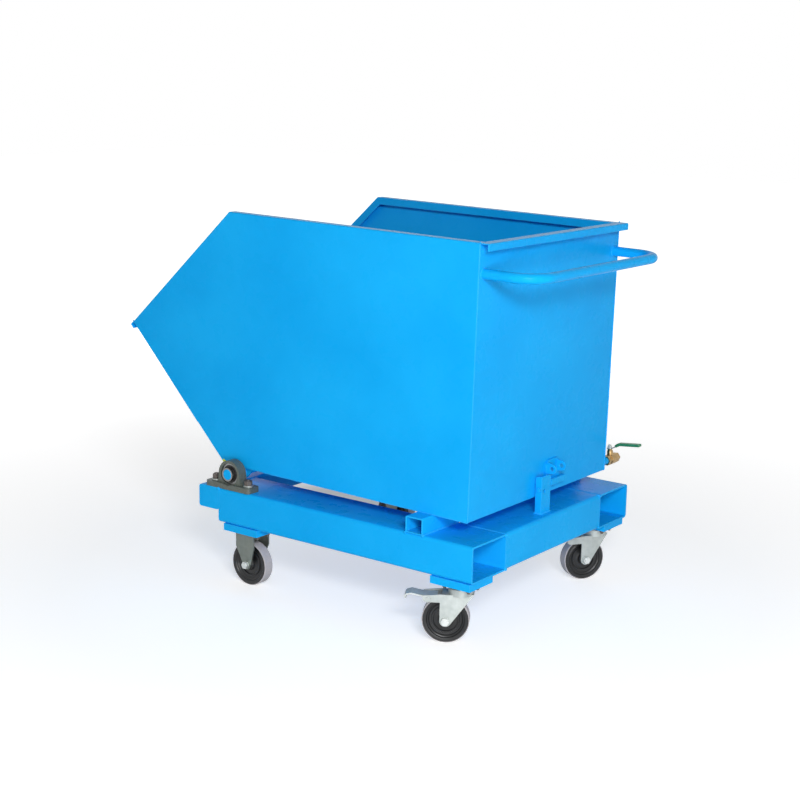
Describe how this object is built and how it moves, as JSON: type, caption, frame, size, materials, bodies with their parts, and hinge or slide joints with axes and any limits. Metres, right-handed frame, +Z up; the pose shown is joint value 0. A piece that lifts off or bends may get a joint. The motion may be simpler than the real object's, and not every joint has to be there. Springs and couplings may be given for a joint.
{
  "type": "swarf cart",
  "caption": "Tipping hopper on a wheeled chassis with fork pockets, a pivot shaft in pillow blocks, a push handle, swivel casters and a drain valve.",
  "frame": {"origin": "on the floor, under the middle of the chassis's length and width", "axes": "+X to the push handle, -X to the hopper's lip, +Y to the drain valve, +Z up"},
  "size_m": [1.3897, 0.888, 1.0566],
  "materials": {
    "blue_paint": "gloss enamel",
    "zinc_steel": "bright zinc plate",
    "cast_housing": "painted casting",
    "bearing_steel": "ground",
    "seal_rubber": "matte",
    "brass": "as cast and turned",
    "plated_ball": "plated",
    "seat_plastic": "matte",
    "lever_vinyl": "dipped vinyl",
    "wheel_core": "moulded",
    "tread_rubber": "matte"
  },
  "bodies": {
    "chassis": {"fork_pocket_left": "blue_paint", "fork_pocket_right": "blue_paint", "front_beam": "blue_paint", "front_beam_end_plates": "blue_paint", "rear_beam": "blue_paint", "hopper_rest_tube": "blue_paint", "latch_post": "blue_paint", "caster_pads": "blue_paint", "caster_bolts": "zinc_steel", "bearing_housing_left": "cast_housing", "bearing_housing_right": "cast_housing", "bearing_outer_rings": "bearing_steel", "bearing_balls": "bearing_steel", "bearing_seals": "seal_rubber", "grease_nipples": "brass", "bearing_bolts": "zinc_steel", "bearing_washers": "zinc_steel", "bearing_nuts": "zinc_steel", "front_fork_left": "zinc_steel", "front_fork_right": "zinc_steel", "front_axles": "zinc_steel", "swivel_top_plates": "zinc_steel", "king_pins": "zinc_steel", "swivel_balls": "bearing_steel"},
    "hopper": {"hopper_side_left": "blue_paint", "hopper_side_right": "blue_paint", "hopper_floor": "blue_paint", "hopper_front_panel": "blue_paint", "hopper_back_panel": "blue_paint", "pivot_shaft": "blue_paint", "shaft_saddles": "blue_paint", "bearing_inner_rings": "bearing_steel", "push_handle": "blue_paint", "latch_plate": "blue_paint", "latch_ears": "blue_paint", "latch_bar": "blue_paint", "drain_nipple": "blue_paint", "valve_body": "brass", "valve_end_cap": "brass", "valve_seats": "seat_plastic", "valve_gland_nut": "brass"},
    "valve_handle": {"valve_ball": "plated_ball", "valve_stem": "plated_ball", "valve_lever": "plated_ball", "lever_nut": "plated_ball", "lever_sleeve": "lever_vinyl"},
    "caster_left": {"swivel_yoke_left": "zinc_steel", "rear_axle_left": "zinc_steel", "brake_pin": "zinc_steel"},
    "caster_right": {"swivel_yoke_right": "zinc_steel", "rear_axle_right": "zinc_steel"},
    "brake": {"brake_pedal": "zinc_steel"},
    "wheel_front_left": {"wheel_core_front_left": "wheel_core", "wheel_tread_front_left": "tread_rubber"},
    "wheel_front_right": {"wheel_core_front_right": "wheel_core", "wheel_tread_front_right": "tread_rubber"},
    "wheel_rear_left": {"wheel_core_rear_left": "wheel_core", "wheel_tread_rear_left": "tread_rubber"},
    "wheel_rear_right": {"wheel_core_rear_right": "wheel_core", "wheel_tread_rear_right": "tread_rubber"}
  },
  "joints": [
    {"name": "hopper_tip", "type": "hinge", "parent": "chassis", "child": "hopper", "pos_m": [-0.3663, 0, 0.3229], "axis": [0, -1, 0], "range_deg": [0, 50]},
    {"name": "drain_valve", "type": "hinge", "parent": "hopper", "child": "valve_handle", "pos_m": [0.40546, 0.413, 0.34056], "axis": [-0.1045, 0, 0.9945], "range_deg": [0, 90]},
    {"name": "swivel_left", "type": "hinge", "parent": "chassis", "child": "caster_left", "pos_m": [0.4055, -0.347, 0.134], "axis": [0, 0, 1], "continuous": true},
    {"name": "swivel_right", "type": "hinge", "parent": "chassis", "child": "caster_right", "pos_m": [0.4055, 0.337, 0.134], "axis": [0, 0, 1], "continuous": true},
    {"name": "brake_pedal", "type": "hinge", "parent": "caster_left", "child": "brake", "pos_m": [0.33521, -0.38923, 0.12], "axis": [0.515, -0.8572, 0], "range_deg": [0, 10]},
    {"name": "spin_front_left", "type": "hinge", "parent": "chassis", "child": "wheel_front_left", "pos_m": [-0.3155, -0.347, 0.0625], "axis": [0, -1, 0], "continuous": true},
    {"name": "spin_front_right", "type": "hinge", "parent": "chassis", "child": "wheel_front_right", "pos_m": [-0.3155, 0.337, 0.0625], "axis": [0, -1, 0], "continuous": true},
    {"name": "spin_rear_left", "type": "hinge", "parent": "caster_left", "child": "wheel_rear_left", "pos_m": [0.37336, -0.36631, 0.0625], "axis": [0.515, -0.8572, 0], "continuous": true},
    {"name": "spin_rear_right", "type": "hinge", "parent": "caster_right", "child": "wheel_rear_right", "pos_m": [0.38508, 0.30555, 0.0625], "axis": [0.8387, -0.5446, 0], "continuous": true}
  ]
}
